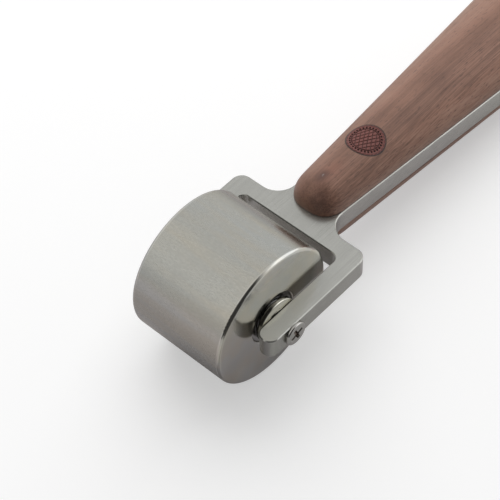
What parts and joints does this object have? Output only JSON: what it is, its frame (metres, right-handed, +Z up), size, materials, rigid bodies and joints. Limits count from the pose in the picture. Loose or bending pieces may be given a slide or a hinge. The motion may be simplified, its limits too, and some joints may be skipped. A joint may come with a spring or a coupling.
{
  "type": "hand press roller",
  "caption": "Hand-held press roller: a polished steel roller on ball bearings in a flat steel fork whose tang runs through a domed walnut handle.",
  "frame": {"origin": "middle of the line where the roller touches the surface the tool lies on, straight below the axle", "axes": "+X along the axle, +Y from the roller towards the end of the handle, +Z up from that surface; the fork plate dips about 4.4 degrees towards the handle's end"},
  "size_m": [0.0454, 0.1518, 0.04],
  "materials": {
    "plate_steel": "fine satin grain along the tool, edges broken bright",
    "roller_steel": "satin barrel, polished end faces",
    "axle_steel": "ground",
    "spacer_steel": "turned",
    "bearing_steel": "ground and polished",
    "cage_steel": "pressed",
    "shield_steel": "pressed, dark with oil",
    "screw_steel": "bright plated",
    "walnut": "oiled, open pores",
    "inlay_wood": "stained and pressed",
    "pin_brass": "plain"
  },
  "bodies": {
    "frame": {"fork_plate": "plate_steel", "top_handle_scale": "walnut", "bottom_handle_scale": "walnut", "handle_inlay": "inlay_wood", "front_handle_pin": "pin_brass", "rear_handle_pin": "pin_brass", "axle": "axle_steel", "spacer_tube": "spacer_steel", "right_bearing_inner_ring": "bearing_steel", "right_flanged_spacer": "spacer_steel", "right_axle_screw": "screw_steel", "left_bearing_inner_ring": "bearing_steel", "left_flanged_spacer": "spacer_steel", "left_axle_screw": "screw_steel"},
    "roller_set": {"roller": "roller_steel", "right_bearing_outer_ring": "bearing_steel", "right_bearing_outer_shield": "shield_steel", "right_bearing_inner_shield": "shield_steel", "left_bearing_outer_ring": "bearing_steel", "left_bearing_outer_shield": "shield_steel", "left_bearing_inner_shield": "shield_steel"},
    "right_ball_set": {"right_bearing_cage": "cage_steel", "right_bearing_balls": "bearing_steel"},
    "left_ball_set": {"left_bearing_cage": "cage_steel", "left_bearing_balls": "bearing_steel"}
  },
  "joints": [
    {"name": "roller_spin", "type": "hinge", "parent": "frame", "child": "roller_set", "pos_m": [0, 0, 0.02], "axis": [1, 0, 0], "continuous": true},
    {"name": "right_ball_set_orbit", "type": "hinge", "parent": "frame", "child": "right_ball_set", "pos_m": [0, 0, 0.02], "axis": [1, 0, 0], "continuous": true},
    {"name": "left_ball_set_orbit", "type": "hinge", "parent": "frame", "child": "left_ball_set", "pos_m": [0, 0, 0.02], "axis": [1, 0, 0], "continuous": true}
  ],
  "couplings": [
    {"joint": "right_ball_set_orbit", "follows": "roller_spin", "ratio": 0.64286},
    {"joint": "left_ball_set_orbit", "follows": "roller_spin", "ratio": 0.64286}
  ]
}
